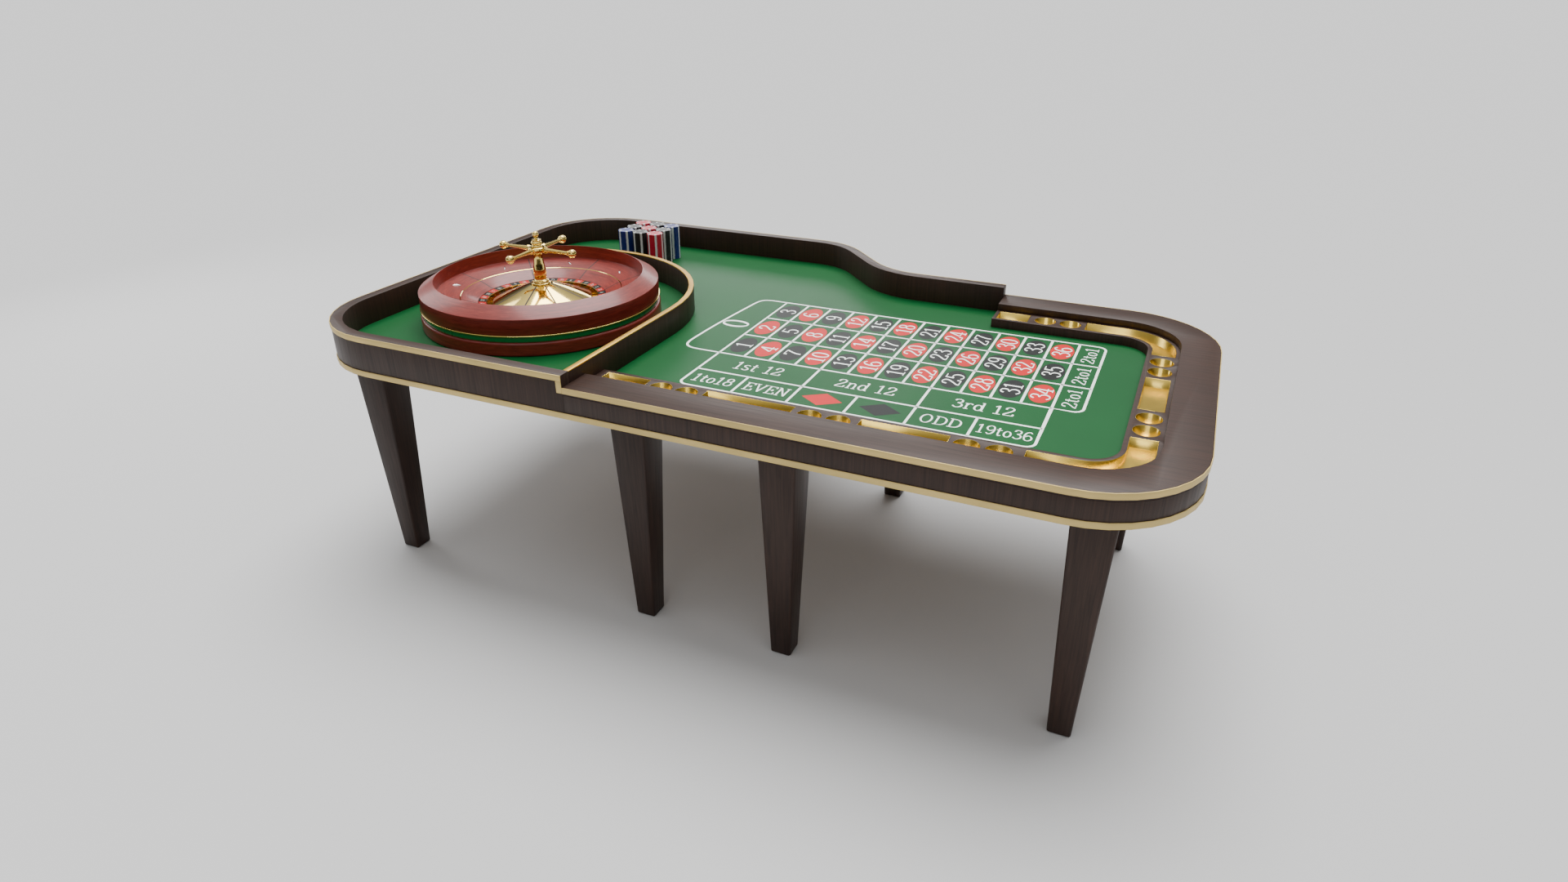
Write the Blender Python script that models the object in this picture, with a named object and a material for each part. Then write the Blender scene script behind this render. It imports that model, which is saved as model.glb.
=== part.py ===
"""Roulette table: walnut table with a stepped rim, brass chip trays and cups, felt bed and a spinning wheel.

Metres, +Z up. The origin is on the floor under the middle of the table. +X runs along the table from the
wheel end to the betting end, and +Y runs from the players' side to the dealer's side.
"""

from math import acos, cos, degrees, pi, radians, sin, tan

import bmesh
import bpy
from mathutils import Matrix

# Gap kept between neighbouring pieces
GAP = 0.0003

# Plan of the table
HALF_LENGTH = 1.3620
NEAR_Y = -0.8155
FAR_Y = 0.8155
SHALLOW_FAR_Y = 0.5190
CORNER_RADIUS = 0.296
STEP_NEAR_X = -0.3144
STEP_FAR_X = 0.6395
SWEEP_START_X = -0.1875
SWEEP_RADIUS = 0.262
SWEEP_ANGLE = 47.5

# Heights
APRON_BOTTOM = 0.707
BED_TOP = 0.728
FELT_TOP = 0.750
LEDGE_TOP = 0.780
RAIL_TOP = 0.8035
WALL_TOP = 0.8396

# Thicknesses and widths
WALL_THICKNESS = 0.0375
APRON_THICKNESS = 0.022
RAIL_WIDTH = 0.113
LEDGE_REACH = 0.208
FELT_THICKNESS = 0.003
TRIM_THICKNESS = 0.0025
TRIM_HEIGHT = 0.018
PARTITION_THICKNESS = 0.018
PARTITION_RADIUS = 0.5346
PARTITION_Y = -0.188
CAP_THICKNESS = 0.004

# Chip trays and cups let into the ledge
POCKET_MARGIN = 0.013
POCKET_WIDTH = 0.071
POCKET_MIDDLE = LEDGE_REACH - POCKET_MARGIN - POCKET_WIDTH / 2
TRAY_DEPTH = 0.030
TRAY_WALL = 0.0015
CUP_RADIUS = 0.0353
CUP_WALL = 0.0012
CUP_DEPTH = 0.0487
CUP_SPACING = 0.0824
WEB_WIDTH = 0.030
WEB_HEIGHT = 0.002
NEAR_TRAYS = [(-0.2895, -0.143), (0.042, 0.314), (0.504, 0.748)]
FAR_TRAYS = [(0.6514, 0.7578)]
END_TRAYS = [(-0.2516, -0.0126)]
NEAR_CUPS = [-0.0510, 0.4081, 0.8371]
FAR_CUPS = [0.8537]
END_CUPS = [-0.3457, 0.0833]
CORNER_TRAY_NEAR_X = 0.940
CORNER_TRAY_NEAR_Y = -0.4382
CORNER_TRAY_FAR_X = 0.9444
CORNER_TRAY_FAR_Y = 0.1818

# Legs
LEG_TOP_WIDTH = 0.115
LEG_FOOT_WIDTH = 0.064
LEG_EDGE = 0.006
LEG_NEAR = [(-1.135, -0.690), (-0.160, -0.690), (0.311, -0.690), (1.134, -0.690)]
LEG_FAR = [(-1.135, 0.6117), (-0.160, 0.6117), (0.323, 0.350), (1.156, 0.308)]

# Wheel
WHEEL_X = -0.8354
WHEEL_Y = -0.2036
WHEEL_RADIUS = 0.4064
RIM_RADIUS = 0.3531
TRACK_SEAM_RADIUS = 0.270
ROTOR_WELL_RADIUS = 0.2185
ROTOR_RADIUS = 0.2165
NUMBER_INNER_RADIUS = 0.1918
CONE_RADIUS = 0.1700
SPINDLE_RADIUS = 0.009
BEARING_RADIUS = 0.020
POCKETS = 37
ARM_REACH = 0.1440
BALL_RADIUS = 0.0144

# Chip stacks
CHIP_RADIUS = 0.0315
STACK_HEIGHT = 0.135
STACK_SPACING = 0.068
STACKS_X = -0.8528
STACKS_Y = 0.5463

# Facets in a quarter turn of a table corner, and in a full turn of a turned piece
CORNER_STEPS = 9
SWEEP_STEPS = 6
PARTITION_STEPS = 22
TURNED_STEPS = 48
CUP_STEPS = 20


def clear_scene():
    for obj in list(bpy.data.objects):
        bpy.data.objects.remove(obj, do_unlink=True)


def material(name, colour, roughness, metallic=0.0):
    made = bpy.data.materials.new(name)
    made.use_nodes = True
    shader = made.node_tree.nodes["Principled BSDF"]
    shader.inputs["Base Color"].default_value = (*colour, 1.0)
    shader.inputs["Roughness"].default_value = roughness
    shader.inputs["Metallic"].default_value = metallic
    made.diffuse_color = (*colour, 1.0)
    return made


def place(name, mesh, finish, parent=None, location=(0, 0, 0), turn=0.0):
    """Add an object for the mesh, turned about Z and placed, in its parent's frame."""
    obj = bpy.data.objects.new(name, mesh)
    bpy.context.scene.collection.objects.link(obj)
    if finish is not None and not mesh.materials:
        mesh.materials.append(finish)
    obj.parent = parent
    obj.location = location
    obj.rotation_euler = (0.0, 0.0, turn)
    return obj


def mesh_from(name, bm, smooth=False):
    bmesh.ops.recalc_face_normals(bm, faces=bm.faces)
    mesh = bpy.data.meshes.new(name)
    bm.to_mesh(mesh)
    bm.free()
    if smooth:
        mesh.shade_smooth()
        mesh.set_sharp_from_angle(angle=radians(35))
    return mesh


def arc(centre, radius, start, end, steps):
    """Points of an arc from one angle to another, in degrees, both ends included."""
    angles = [radians(start + (end - start) * i / steps) for i in range(steps + 1)]
    return [(centre[0] + radius * cos(a), centre[1] + radius * sin(a)) for a in angles]


def low_path(offset, gap=0.0):
    """Outline of the low side, this far inside the outer face, from the near step round the right end."""
    right = HALF_LENGTH - CORNER_RADIUS
    near = (right, NEAR_Y + CORNER_RADIUS)
    far = (right, SHALLOW_FAR_Y - CORNER_RADIUS)
    radius = CORNER_RADIUS - offset
    return (
        [(STEP_NEAR_X + gap, NEAR_Y + offset)]
        + arc(near, radius, -90, 0, CORNER_STEPS)
        + arc(far, radius, 0, 90, CORNER_STEPS)
        + [(STEP_FAR_X + gap, SHALLOW_FAR_Y - offset)]
    )


def sweep_end_x():
    """Where the dealer's recess has come back to the shallow far side."""
    angle = radians(SWEEP_ANGLE)
    drop = FAR_Y - SHALLOW_FAR_Y - 2 * SWEEP_RADIUS * (1 - cos(angle))
    return SWEEP_START_X + 2 * SWEEP_RADIUS * sin(angle) + drop / tan(angle)


def high_path(offset, gap=0.0):
    """Outline of the high side, from the far step round the wheel end to the near step."""
    left = -HALF_LENGTH + CORNER_RADIUS
    radius = CORNER_RADIUS - offset
    hollow = (sweep_end_x(), SHALLOW_FAR_Y + SWEEP_RADIUS)
    crown = (SWEEP_START_X, FAR_Y - SWEEP_RADIUS)
    return (
        [(STEP_FAR_X + gap, SHALLOW_FAR_Y - offset)]
        + arc(hollow, SWEEP_RADIUS + offset, 270, 270 - SWEEP_ANGLE, SWEEP_STEPS)
        + arc(crown, SWEEP_RADIUS - offset, 90 - SWEEP_ANGLE, 90, SWEEP_STEPS)
        + arc((left, FAR_Y - CORNER_RADIUS), radius, 90, 180, CORNER_STEPS)
        + arc((left, NEAR_Y + CORNER_RADIUS), radius, 180, 270, CORNER_STEPS)
        + [(STEP_NEAR_X + gap, NEAR_Y + offset)]
    )


def ring_path(offset):
    return low_path(offset) + high_path(offset)[1:-1]


def band_mesh(name, outer, inner, bottom, top, closed=False):
    """Solid wall between two matching plan paths."""
    bm = bmesh.new()
    columns = []
    for a, b in zip(outer, inner):
        corners = ((*a, bottom), (*a, top), (*b, top), (*b, bottom))
        columns.append([bm.verts.new(corner) for corner in corners])
    pairs = list(zip(columns, columns[1:]))
    if closed:
        pairs.append((columns[-1], columns[0]))
    else:
        bm.faces.new(columns[0])
        bm.faces.new(reversed(columns[-1]))
    for first, second in pairs:
        for i in range(4):
            j = (i + 1) % 4
            bm.faces.new((first[i], first[j], second[j], second[i]))
    return mesh_from(name, bm, smooth=True)


def slab_mesh(name, outline, bottom, top):
    """Solid plate with this plan outline."""
    bm = bmesh.new()
    face = bm.faces.new([bm.verts.new((x, y, bottom)) for x, y in outline])
    moved = bmesh.ops.extrude_face_region(bm, geom=[face])["geom"]
    lifted = [item for item in moved if isinstance(item, bmesh.types.BMVert)]
    bmesh.ops.translate(bm, verts=lifted, vec=(0, 0, top - bottom))
    return mesh_from(name, bm)


def box_mesh(name, low, high):
    outline = [(low[0], low[1]), (high[0], low[1]), (high[0], high[1]), (low[0], high[1])]
    return slab_mesh(name, outline, low[2], high[2])


def turned_mesh(name, profile, steps=TURNED_STEPS):
    """Closed profile of (radius, height) points spun about Z; a point at radius 0 is on the axis."""
    bm = bmesh.new()
    rings = []
    for radius, height in profile:
        if radius == 0:
            rings.append([bm.verts.new((0, 0, height))] * steps)
            continue
        turns = [2 * pi * i / steps for i in range(steps)]
        rings.append([bm.verts.new((radius * cos(a), radius * sin(a), height)) for a in turns])
    for first, second in zip(rings, rings[1:] + rings[:1]):
        for i in range(steps):
            j = (i + 1) % steps
            corners = list(dict.fromkeys((first[i], first[j], second[j], second[i])))
            if len(corners) > 2:
                bm.faces.new(corners)
    return mesh_from(name, bm, smooth=True)


def helper(name, mesh, location=(0, 0, 0), turn=0.0):
    """A cutter or a piece to be joined: never rendered."""
    obj = place(name, mesh, None, None, location, turn)
    obj.hide_render = True
    obj.display_type = "WIRE"
    return obj


def boolean(obj, other, operation):
    modifier = obj.modifiers.new(operation.title() + "_" + other.name, "BOOLEAN")
    modifier.operation = operation
    modifier.object = other


def finished_mesh(obj, name):
    """The object's mesh with its modifiers applied; the object itself is removed."""
    bpy.context.view_layer.update()
    graph = bpy.context.evaluated_depsgraph_get()
    mesh = bpy.data.meshes.new_from_object(obj.evaluated_get(graph))
    mesh.name = name
    others = [modifier.object for modifier in obj.modifiers]
    for done in [obj] + others:
        bpy.data.objects.remove(done, do_unlink=True)
    return mesh


def twin_mesh(name, radius, web_width, bottom, top, web_top):
    """Two upright discs a cup spacing apart, joined near the bottom by a web."""
    disc = turned_mesh(name + "_disc", [(0, bottom), (radius, bottom), (radius, top), (0, top)], CUP_STEPS)
    web = box_mesh(
        name + "_web", (-CUP_SPACING / 2, -web_width / 2, bottom), (CUP_SPACING / 2, web_width / 2, web_top)
    )
    body = helper(name + "_body", web)
    for side in (-1, 1):
        other = helper(name + "_disc_%d" % (side + 1), disc, (side * CUP_SPACING / 2, 0, 0))
        boolean(body, other, "UNION")
    return finished_mesh(body, name)


def cup_pair_mesh():
    """Two round cups with thin walls on one strip, drawn about the top of the ledge."""
    outer = twin_mesh("cup_pair", CUP_RADIUS, WEB_WIDTH, -CUP_DEPTH, 0.0, -CUP_DEPTH + WEB_HEIGHT)
    body = helper("cup_pair_body", outer)
    radius = CUP_RADIUS - CUP_WALL
    inside = [(0, -CUP_DEPTH + CUP_WALL), (radius, -CUP_DEPTH + CUP_WALL), (radius, 0.01), (0, 0.01)]
    hollow = turned_mesh("cup_hollow", inside, CUP_STEPS)
    for side in (-1, 1):
        boolean(body, helper("cup_hollow_%d" % (side + 1), hollow, (side * CUP_SPACING / 2, 0, 0)), "DIFFERENCE")
    mesh = finished_mesh(body, "cup_pair")
    mesh.shade_smooth()
    mesh.set_sharp_from_angle(angle=radians(35))
    return mesh


def cup_places():
    """(location, turn) of each pair of cups on the top of the ledge."""
    near = [((x, NEAR_Y + POCKET_MIDDLE, LEDGE_TOP), 0.0) for x in NEAR_CUPS]
    end = [((HALF_LENGTH - POCKET_MIDDLE, y, LEDGE_TOP), pi / 2) for y in END_CUPS]
    far = [((x, SHALLOW_FAR_Y - POCKET_MIDDLE, LEDGE_TOP), 0.0) for x in FAR_CUPS]
    return near + end + far


def straight_trays():
    """Low and high plan corners of each straight tray."""
    half = POCKET_WIDTH / 2
    near, far = NEAR_Y + POCKET_MIDDLE, SHALLOW_FAR_Y - POCKET_MIDDLE
    end = HALF_LENGTH - POCKET_MIDDLE
    found = [((a, near - half), (b, near + half)) for a, b in NEAR_TRAYS]
    found += [((end - half, a), (end + half, b)) for a, b in END_TRAYS]
    found += [((a, far - half), (b, far + half)) for a, b in FAR_TRAYS]
    return found


def corner_tray_paths(near, shrink):
    """Outer and inner plan paths of a corner tray, made smaller all round by shrink."""
    centre_x = HALF_LENGTH - CORNER_RADIUS
    paths = []
    for reach in (POCKET_MIDDLE - POCKET_WIDTH / 2 + shrink, POCKET_MIDDLE + POCKET_WIDTH / 2 - shrink):
        radius = CORNER_RADIUS - reach
        if near:
            curve = arc((centre_x, NEAR_Y + CORNER_RADIUS), radius, -90, 0, CORNER_STEPS)
            start = (CORNER_TRAY_NEAR_X + shrink, NEAR_Y + reach)
            end = (HALF_LENGTH - reach, CORNER_TRAY_NEAR_Y - shrink)
        else:
            curve = arc((centre_x, SHALLOW_FAR_Y - CORNER_RADIUS), radius, 0, 90, CORNER_STEPS)
            start = (HALF_LENGTH - reach, CORNER_TRAY_FAR_Y + shrink)
            end = (CORNER_TRAY_FAR_X + shrink, SHALLOW_FAR_Y - reach)
        paths.append([start] + curve + [end])
    return paths


def straight_tray_solid(name, corners, shrink, bottom, top):
    (x0, y0), (x1, y1) = corners
    return box_mesh(name, (x0 + shrink, y0 + shrink, bottom), (x1 - shrink, y1 - shrink, top))


def corner_tray_solid(name, near, shrink, bottom, top):
    outer, inner = corner_tray_paths(near, shrink)
    return band_mesh(name, outer, inner, bottom, top)


def tray(name, solid, spot, finish):
    """An open-topped brass tray: the solid that fills its pocket, with its inside cut out."""
    body = place(name, solid(name, spot, GAP, LEDGE_TOP - TRAY_DEPTH + GAP, LEDGE_TOP), finish)
    inside = solid(name + "_inside", spot, TRAY_WALL, LEDGE_TOP - TRAY_DEPTH + TRAY_WALL, LEDGE_TOP + 0.01)
    boolean(body, helper(name + "_inside", inside), "DIFFERENCE")
    return body


def make_bed(wood, cloth):
    """The structural bed, the playing board on it and the cloth glued to the board."""
    bed = low_path(APRON_THICKNESS + GAP, 2 * GAP) + high_path(WALL_THICKNESS + GAP, 2 * GAP)
    place("table_bed", slab_mesh("table_bed", bed, APRON_BOTTOM, BED_TOP), wood)
    board = low_path(LEDGE_REACH + GAP) + high_path(WALL_THICKNESS + GAP)
    board_top = FELT_TOP - FELT_THICKNESS - GAP
    place("playing_board", slab_mesh("playing_board", board, BED_TOP + GAP, board_top), wood)
    place("felt_cloth", slab_mesh("felt_cloth", board, FELT_TOP - FELT_THICKNESS, FELT_TOP), cloth)


def make_rim(walnut):
    """The high wall round the wheel end, and the apron, ledge and arm rail round the betting end."""
    wall = band_mesh("high_wall", high_path(0), high_path(WALL_THICKNESS), APRON_BOTTOM, WALL_TOP)
    place("high_wall", wall, walnut)
    apron = band_mesh("low_apron", low_path(0, GAP), low_path(APRON_THICKNESS, GAP), APRON_BOTTOM, LEDGE_TOP)
    place("low_apron", apron, walnut)
    rail = band_mesh("arm_rail", low_path(0, GAP), low_path(RAIL_WIDTH, GAP), LEDGE_TOP + GAP, RAIL_TOP)
    place("arm_rail", rail, walnut)


def make_ledge(walnut):
    """The ledge inside the arm rail, with a pocket for each tray and each pair of cups."""
    outer = low_path(APRON_THICKNESS + GAP, GAP)
    inner = low_path(LEDGE_REACH, GAP)
    ledge = place("tray_ledge", band_mesh("tray_ledge", outer, inner, BED_TOP + GAP, LEDGE_TOP), walnut)
    bottom, top = LEDGE_TOP - TRAY_DEPTH, LEDGE_TOP + 0.01
    for i, corners in enumerate(straight_trays()):
        cutter = straight_tray_solid("tray_pocket_%d" % i, corners, 0.0, bottom, top)
        boolean(ledge, helper(cutter.name, cutter), "DIFFERENCE")
    for i, near in enumerate((True, False)):
        cutter = corner_tray_solid("corner_pocket_%d" % i, near, 0.0, bottom, top)
        boolean(ledge, helper(cutter.name, cutter), "DIFFERENCE")
    depth = CUP_DEPTH + GAP
    pocket = twin_mesh("cup_pocket", CUP_RADIUS + GAP, WEB_WIDTH + 2 * GAP, -depth, 0.01, -depth + 0.008)
    for i, (location, turn) in enumerate(cup_places()):
        boolean(ledge, helper("cup_pocket_%d" % i, pocket, location, turn), "DIFFERENCE")


def make_brass_inserts(brass):
    cups = cup_pair_mesh()
    for i, (location, turn) in enumerate(cup_places()):
        place("cup_pair_%d" % (i + 1), cups, brass, None, location, turn)
    for i, corners in enumerate(straight_trays()):
        tray("chip_tray_%d" % (i + 1), straight_tray_solid, corners, brass)
    for name, near in (("corner_tray_near", True), ("corner_tray_far", False)):
        tray(name, corner_tray_solid, near, brass)


def make_trim(brass):
    """Flat brass strips on the outer face: one along the bottom, and one along the top that steps down."""
    outer, inner = -TRIM_THICKNESS - GAP, -GAP
    bottom = band_mesh(
        "trim_lower", ring_path(outer), ring_path(inner), APRON_BOTTOM, APRON_BOTTOM + TRIM_HEIGHT, closed=True
    )
    place("trim_lower", bottom, brass)
    high = band_mesh("trim_wall", high_path(outer), high_path(inner), WALL_TOP - TRIM_HEIGHT, WALL_TOP)
    place("trim_wall", high, brass)
    low = band_mesh("trim_rail", low_path(outer, GAP), low_path(inner, GAP), RAIL_TOP - TRIM_HEIGHT, RAIL_TOP)
    place("trim_rail", low, brass)
    base, top = RAIL_TOP - TRIM_HEIGHT, WALL_TOP - TRIM_HEIGHT - GAP
    steps = (
        ("trim_step_near", STEP_NEAR_X, NEAR_Y + outer, NEAR_Y + inner),
        ("trim_step_far", STEP_FAR_X, SHALLOW_FAR_Y - inner, SHALLOW_FAR_Y - outer),
    )
    for name, x, y0, y1 in steps:
        place(name, box_mesh(name, (x - TRIM_HEIGHT, y0, base), (x, y1, top)), brass)


def partition_path(inside):
    """Plan path of one face of the partition: straight from the near wall, then round the wheel."""
    centre = (STEP_NEAR_X - PARTITION_RADIUS, PARTITION_Y)
    radius = PARTITION_RADIUS - (PARTITION_THICKNESS if inside else 0.0)
    wall_x = -HALF_LENGTH + WALL_THICKNESS + GAP
    end = degrees(acos((wall_x - centre[0]) / radius))
    start = (centre[0] + radius, NEAR_Y + WALL_THICKNESS + GAP)
    return [start] + arc(centre, radius, 0, end, PARTITION_STEPS)


def make_partition(walnut, brass):
    """The low wall between the wheel and the layout, with its brass cap."""
    outer, inner = partition_path(False), partition_path(True)
    top = WALL_TOP - CAP_THICKNESS - GAP
    place("partition_wall", band_mesh("partition_wall", outer, inner, FELT_TOP + GAP, top), walnut)
    place("partition_cap", band_mesh("partition_cap", outer, inner, top + GAP, WALL_TOP), brass)


def leg_mesh():
    """A tapered square leg with eased edges, standing on the floor."""
    bm = bmesh.new()
    for height, width in ((0.0, LEG_FOOT_WIDTH), (APRON_BOTTOM - GAP, LEG_TOP_WIDTH)):
        half = width / 2
        for x, y in ((-half, -half), (half, -half), (half, half), (-half, half)):
            bm.verts.new((x, y, height))
    bm.verts.ensure_lookup_table()
    for i in range(4):
        j = (i + 1) % 4
        bm.faces.new([bm.verts[k] for k in (i, j, j + 4, i + 4)])
    bm.faces.new([bm.verts[k] for k in (0, 3, 2, 1)])
    bm.faces.new([bm.verts[k] for k in (4, 5, 6, 7)])
    eased = [e for e in bm.edges if min(v.co.z for v in e.verts) == 0]
    bmesh.ops.bevel(bm, geom=eased, offset=LEG_EDGE, segments=2, profile=0.5, affect="EDGES")
    return mesh_from("leg", bm, smooth=True)


def make_legs(walnut):
    mesh = leg_mesh()
    for side, places in (("near", LEG_NEAR), ("far", LEG_FAR)):
        for i, (x, y) in enumerate(places):
            place("leg_%s_%d" % (side, i + 1), mesh, walnut, None, (x, y, 0))


def make_wheel_stand(stand, mahogany, green, brass, steel):
    """The parts of the wheel that don't spin; heights are above the felt, and the stand's origin is there."""
    base = [(0.262, GAP), (0.406, GAP), (0.410, 0.004), (0.410, 0.0405), (0.406, 0.0454), (0.262, 0.0454)]
    place("wheel_base", turned_mesh("wheel_base", base), mahogany, stand)
    band = [(0.300, 0.0457), (0.402, 0.0457), (0.402, 0.0640), (0.300, 0.0640)]
    place("wheel_green_band", turned_mesh("wheel_green_band", band), green, stand)
    ring = [(0.300, 0.0643), (0.409, 0.0643), (0.4095, 0.0667), (0.409, 0.0690), (0.300, 0.0690)]
    place("wheel_brass_band", turned_mesh("wheel_brass_band", ring), brass, stand)
    bore = SPINDLE_RADIUS + GAP
    bowl = [
        (bore, 0.012),
        (0.2600, 0.012),
        (0.2600, 0.0693),
        (WHEEL_RADIUS - 0.0015, 0.0693),
        (WHEEL_RADIUS, 0.0708),
        (WHEEL_RADIUS, 0.1216),
        (RIM_RADIUS + 0.0030, 0.1514),
        (RIM_RADIUS + 0.0004, 0.1527),
        (RIM_RADIUS, 0.1510),
        (RIM_RADIUS, 0.1064),
        (TRACK_SEAM_RADIUS, 0.0872),
        (ROTOR_WELL_RADIUS, 0.0654),
        (ROTOR_WELL_RADIUS, 0.030),
        (bore, 0.030),
    ]
    place("wheel_bowl", turned_mesh("wheel_bowl", bowl), mahogany, stand)
    spindle = [(0, 0.0125), (SPINDLE_RADIUS, 0.0125), (SPINDLE_RADIUS, 0.1120), (0.0075, 0.1135), (0, 0.1135)]
    place("wheel_spindle", turned_mesh("wheel_spindle", spindle), steel, stand)
    bearing = [(bore, 0.0303), (BEARING_RADIUS, 0.0303), (BEARING_RADIUS, 0.0417), (bore, 0.0417)]
    place("spindle_bearing", turned_mesh("spindle_bearing", bearing), steel, stand)


def pocket_ring_mesh():
    """A ring of pockets, with a thin upright fret between each two."""
    inner, outer = CONE_RADIUS + 4 * GAP, NUMBER_INNER_RADIUS - 4 * GAP
    bottom, floor, top = 0.0563, 0.0580, 0.0632
    fret = 0.08
    bm = bmesh.new()
    columns = []
    for i in range(2 * POCKETS):
        angle = 2 * pi * (i // 2 + (fret if i % 2 else 0.0)) / POCKETS
        corners = ((inner, bottom), (outer, bottom), (outer, floor), (inner, floor))
        columns.append([bm.verts.new((r * cos(angle), r * sin(angle), z)) for r, z in corners])
    frets = []
    for i, (first, second) in enumerate(zip(columns, columns[1:] + columns[:1])):
        for a in range(4):
            b = (a + 1) % 4
            face = bm.faces.new((first[a], first[b], second[b], second[a]))
            if a == 2 and i % 2 == 0:
                frets.append(face)
    bmesh.ops.recalc_face_normals(bm, faces=bm.faces)
    raised = bmesh.ops.extrude_discrete_faces(bm, faces=frets)["faces"]
    for face in raised:
        bmesh.ops.translate(bm, verts=face.verts, vec=(0, 0, top - floor))
    return mesh_from("pocket_ring", bm)


def arm_mesh():
    """One arm of the cross, along +X, from inside the hub to inside its ball."""
    inner, outer = 0.012, ARM_REACH - BALL_RADIUS / 2
    profile = [(0, inner), (0.0085, inner), (0.0075, 0.050), (0.0058, outer), (0, outer)]
    mesh = turned_mesh("arm", profile, 12)
    mesh.transform(Matrix.Rotation(pi / 2, 4, "Y"))
    return mesh


def cross_mesh():
    """The turret's cross: a hub with four tapered arms and a ball on the end of each."""
    hub = [(0, -0.0090), (0.0290, -0.0090), (0.0300, -0.0075), (0.0300, 0.0065), (0.0260, 0.0090), (0, 0.0090)]
    body = helper("cross_body", turned_mesh("cross_hub", hub, 32))
    arm = arm_mesh()
    sphere = bmesh.new()
    bmesh.ops.create_uvsphere(sphere, u_segments=14, v_segments=9, radius=BALL_RADIUS)
    ball = mesh_from("ball", sphere)
    for i in range(4):
        turn = i * pi / 2
        boolean(body, helper("arm_%d" % i, arm, turn=turn), "UNION")
        spot = (ARM_REACH * cos(turn), ARM_REACH * sin(turn), 0)
        boolean(body, helper("ball_%d" % i, ball, spot), "UNION")
    mesh = finished_mesh(body, "turret_cross")
    mesh.shade_smooth()
    mesh.set_sharp_from_angle(angle=radians(35))
    return mesh


def make_rotor(axle, mahogany, red, brass):
    """The spinning wheelhead; the axle's origin is on the spin axis at the felt."""
    bore = SPINDLE_RADIUS + GAP
    disc = [(bore, 0.0420), (0.2120, 0.0420), (ROTOR_RADIUS, 0.0460), (ROTOR_RADIUS, 0.0560), (bore, 0.0560)]
    place("rotor_disc", turned_mesh("rotor_disc", disc), mahogany, axle)
    inner = NUMBER_INNER_RADIUS
    numbers = [(inner, 0.0563), (ROTOR_RADIUS, 0.0563), (ROTOR_RADIUS, 0.0650), (inner, 0.0615)]
    place("number_ring", turned_mesh("number_ring", numbers), red, axle)
    place("pocket_ring", pocket_ring_mesh(), brass, axle)
    cone = [(bore, 0.0563), (CONE_RADIUS, 0.0563), (CONE_RADIUS, 0.0625), (0.0400, 0.1142), (bore, 0.1142)]
    place("rotor_cone", turned_mesh("rotor_cone", cone), brass, axle)
    column = [
        (0, 0.1145),
        (0.0330, 0.1145),
        (0.0330, 0.1190),
        (0.0270, 0.1215),
        (0.0270, 0.1270),
        (0.0215, 0.1310),
        (0.0225, 0.1400),
        (0.0200, 0.1700),
        (0.0140, 0.2150),
        (0.0150, 0.2260),
        (0, 0.2260),
    ]
    place("turret_column", turned_mesh("turret_column", column, 32), brass, axle)
    place("turret_cross", cross_mesh(), brass, axle, (0, 0, 0.2353))
    finial = [
        (0, 0.2446),
        (0.0170, 0.2446),
        (0.0150, 0.2500),
        (0.0185, 0.2640),
        (0.0180, 0.2690),
        (0.0060, 0.2720),
        (0.0050, 0.2760),
        (0.0085, 0.2810),
        (0.0100, 0.2860),
        (0.0085, 0.2915),
        (0.0045, 0.2955),
        (0, 0.2970),
    ]
    place("turret_finial", turned_mesh("turret_finial", finial, 24), brass, axle)


def make_chip_stacks(colours):
    """Nine stacks of chips in a square behind the wheel."""
    edge = 0.001
    stack = [
        (0, 0),
        (CHIP_RADIUS - edge, 0),
        (CHIP_RADIUS, edge),
        (CHIP_RADIUS, STACK_HEIGHT - edge),
        (CHIP_RADIUS - edge, STACK_HEIGHT),
        (0, STACK_HEIGHT),
    ]
    rows = (("blue", "black", "red"), ("black", "red", "black"), ("red", "black", "blue"))
    for row, names in enumerate(rows):
        for column, colour in enumerate(names):
            name = "chip_stack_%d" % (3 * row + column + 1)
            x = STACKS_X + (column - 1) * STACK_SPACING
            y = STACKS_Y + (row - 1) * STACK_SPACING
            place(name, turned_mesh(name, stack, 24), colours[colour], None, (x, y, FELT_TOP + GAP))


def main():
    clear_scene()
    walnut = material("walnut", (0.060, 0.038, 0.030), 0.42)
    board = material("plywood", (0.42, 0.30, 0.19), 0.75)
    felt = material("green_felt", (0.020, 0.160, 0.065), 0.9)
    enamel = material("green_enamel", (0.020, 0.160, 0.065), 0.3)
    pale_brass = material("pale_brass", (0.62, 0.53, 0.30), 0.45, 1.0)
    brass = material("polished_brass", (0.85, 0.52, 0.13), 0.18, 1.0)
    gold = material("gold", (0.90, 0.72, 0.33), 0.12, 1.0)
    mahogany = material("mahogany", (0.20, 0.035, 0.025), 0.22)
    red = material("number_red", (0.45, 0.02, 0.02), 0.35)
    steel = material("spindle_steel", (0.55, 0.56, 0.58), 0.3, 1.0)
    chips = {
        "blue": material("chip_blue", (0.02, 0.06, 0.28), 0.4),
        "black": material("chip_black", (0.02, 0.02, 0.02), 0.4),
        "red": material("chip_red", (0.45, 0.02, 0.05), 0.4),
    }
    make_bed(board, felt)
    make_rim(walnut)
    make_ledge(walnut)
    make_brass_inserts(brass)
    make_trim(pale_brass)
    make_partition(walnut, brass)
    make_legs(walnut)
    stand = bpy.data.objects.new("wheel_stand", None)
    axle = bpy.data.objects.new("wheel_axle", None)
    for empty in (stand, axle):
        bpy.context.scene.collection.objects.link(empty)
        empty.location = (WHEEL_X, WHEEL_Y, FELT_TOP)
    make_wheel_stand(stand, mahogany, enamel, gold, steel)
    make_rotor(axle, mahogany, red, gold)
    make_chip_stacks(chips)


main()
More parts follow.
